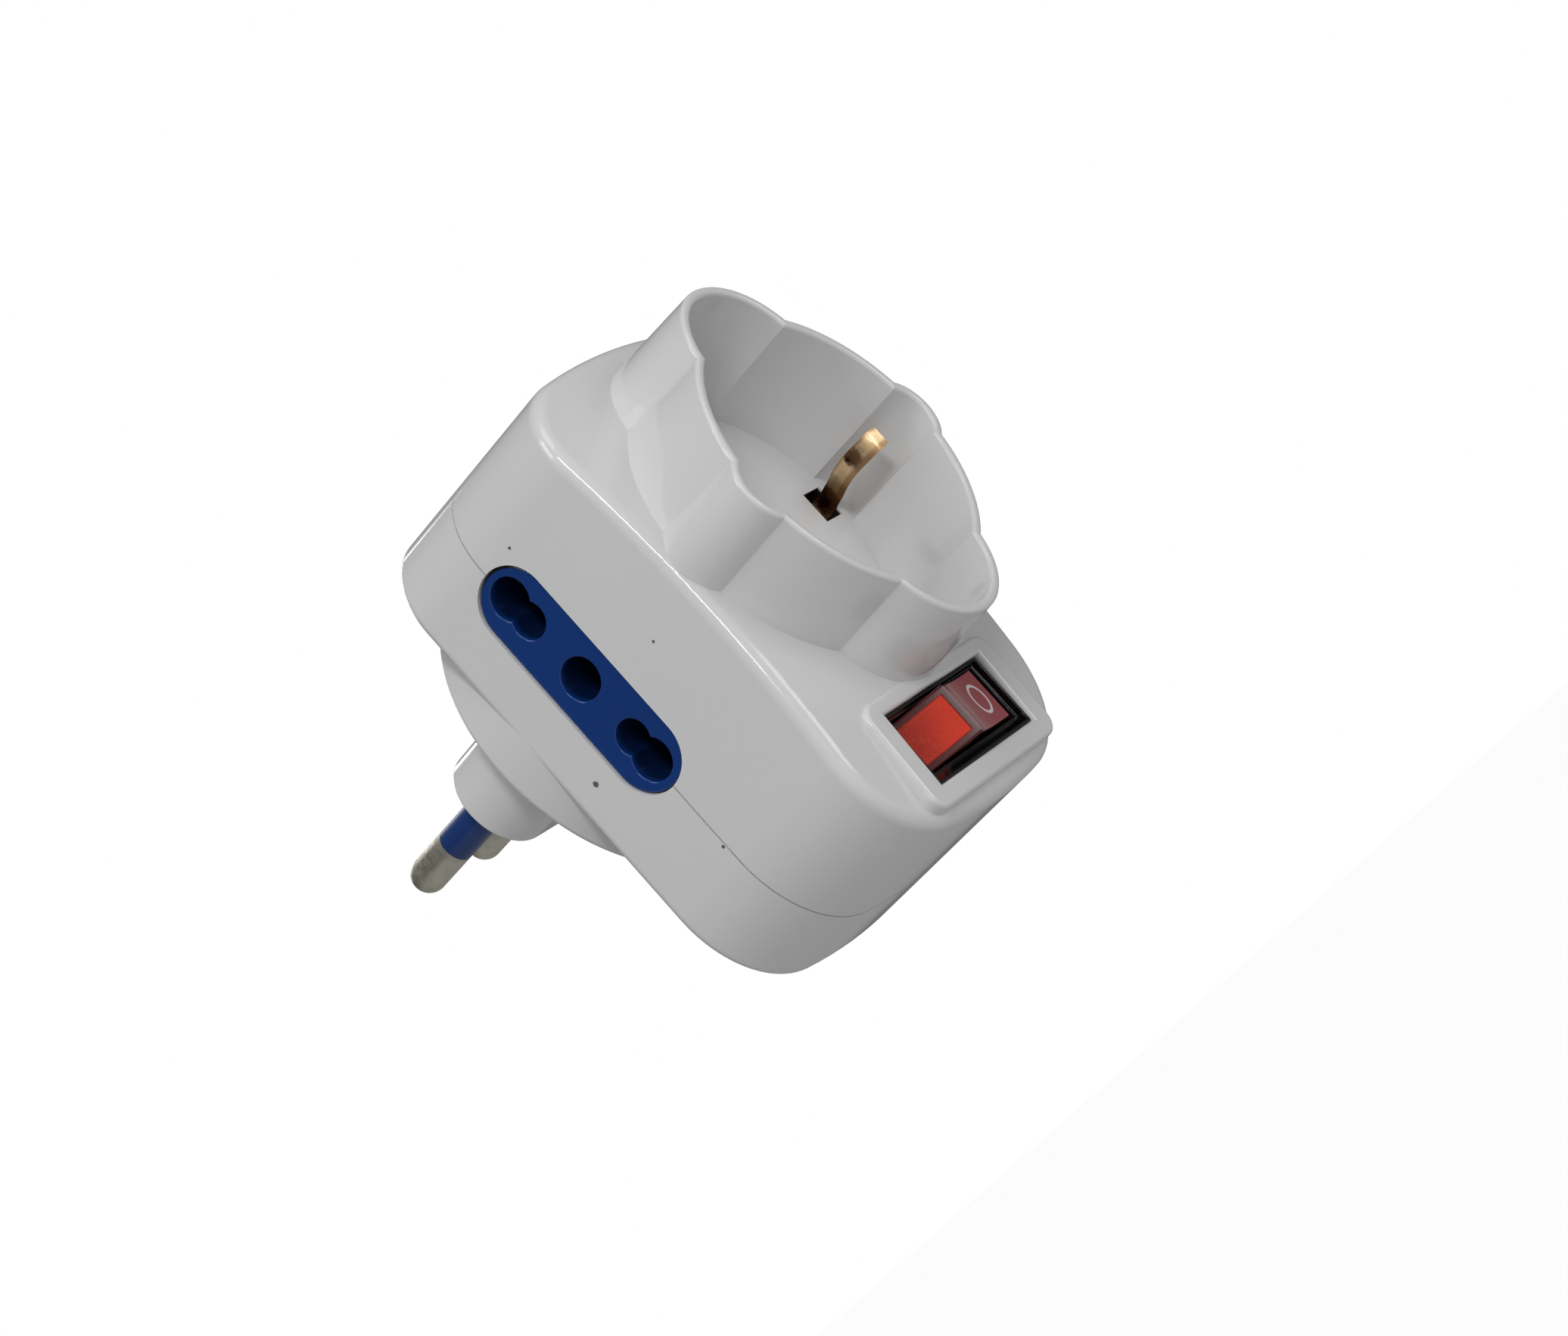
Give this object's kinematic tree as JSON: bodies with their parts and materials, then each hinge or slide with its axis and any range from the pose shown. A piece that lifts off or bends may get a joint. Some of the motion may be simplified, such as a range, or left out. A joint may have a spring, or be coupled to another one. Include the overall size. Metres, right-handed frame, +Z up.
{
  "type": "switched plug adapter",
  "caption": "Wall plug adapter with round pins in line, a scalloped earthed socket in front, a two-pitch socket in each side and a lit rocker switch.",
  "frame": {"origin": "middle of the plug boss's end face, where the earth pin leaves it", "axes": "+Y out of the wall side along the plug pins, -Y towards the user, +Z up with the switch at the lower end, +X to the user's right"},
  "size_m": [0.049, 0.0837, 0.0739],
  "materials": {
    "white_shell": "white moulded plastic, satin gloss, lightly used",
    "blue_insert": "deep blue moulded plastic",
    "pin_metal": "nickel plated brass, satin, lightly worn",
    "blue_sleeve": "deep blue insulating sleeve",
    "contact_brass": "stamped brass strip",
    "carrier_plastic": "pale moulded plastic",
    "black_plastic": "black moulded plastic",
    "red_plastic": "red translucent plastic",
    "plunger_plastic": "pale nylon",
    "lamp_glass": "clear glass glow lamp",
    "screw_steel": "plated steel"
  },
  "bodies": {
    "housing": {"front_shell": "white_shell", "rear_shell": "white_shell", "side_insert_left": "blue_insert", "side_insert_right": "blue_insert", "line_pin": "pin_metal", "earth_pin": "pin_metal", "neutral_pin": "pin_metal", "line_pin_sleeve": "blue_sleeve", "neutral_pin_sleeve": "blue_sleeve", "line_bar": "contact_brass", "neutral_bar": "contact_brass", "earth_bar": "contact_brass", "earth_clips": "contact_brass", "contact_carrier": "carrier_plastic", "switch_frame": "black_plastic", "lamp_terminal": "contact_brass", "common_terminal": "contact_brass", "load_terminal": "contact_brass", "indicator_lamp": "lamp_glass", "case_screws": "screw_steel"},
    "rocker": {"rocker": "red_plastic"},
    "plunger": {"plunger": "plunger_plastic"},
    "contact_blade": {"contact_blade": "contact_brass"}
  },
  "joints": [
    {"name": "rocker_hinge", "type": "hinge", "parent": "housing", "child": "rocker", "pos_m": [0, -0.04666, -0.03315], "axis": [0, 0, 1], "range_deg": [0, 16]},
    {"name": "blade_hinge", "type": "hinge", "parent": "housing", "child": "contact_blade", "pos_m": [0, -0.039, -0.03315], "axis": [0, 0, 1], "range_deg": [-8, 0]},
    {"name": "plunger_slide", "type": "slide", "parent": "rocker", "child": "plunger", "axis": [-0.1392, -0.9903, 0], "range_m": [0, 0.0006], "stiffness_N_per_m": 100, "springref_m": -0.002}
  ],
  "couplings": [
    {"joint": "blade_hinge", "follows": "rocker_hinge", "ratio": -0.5}
  ]
}
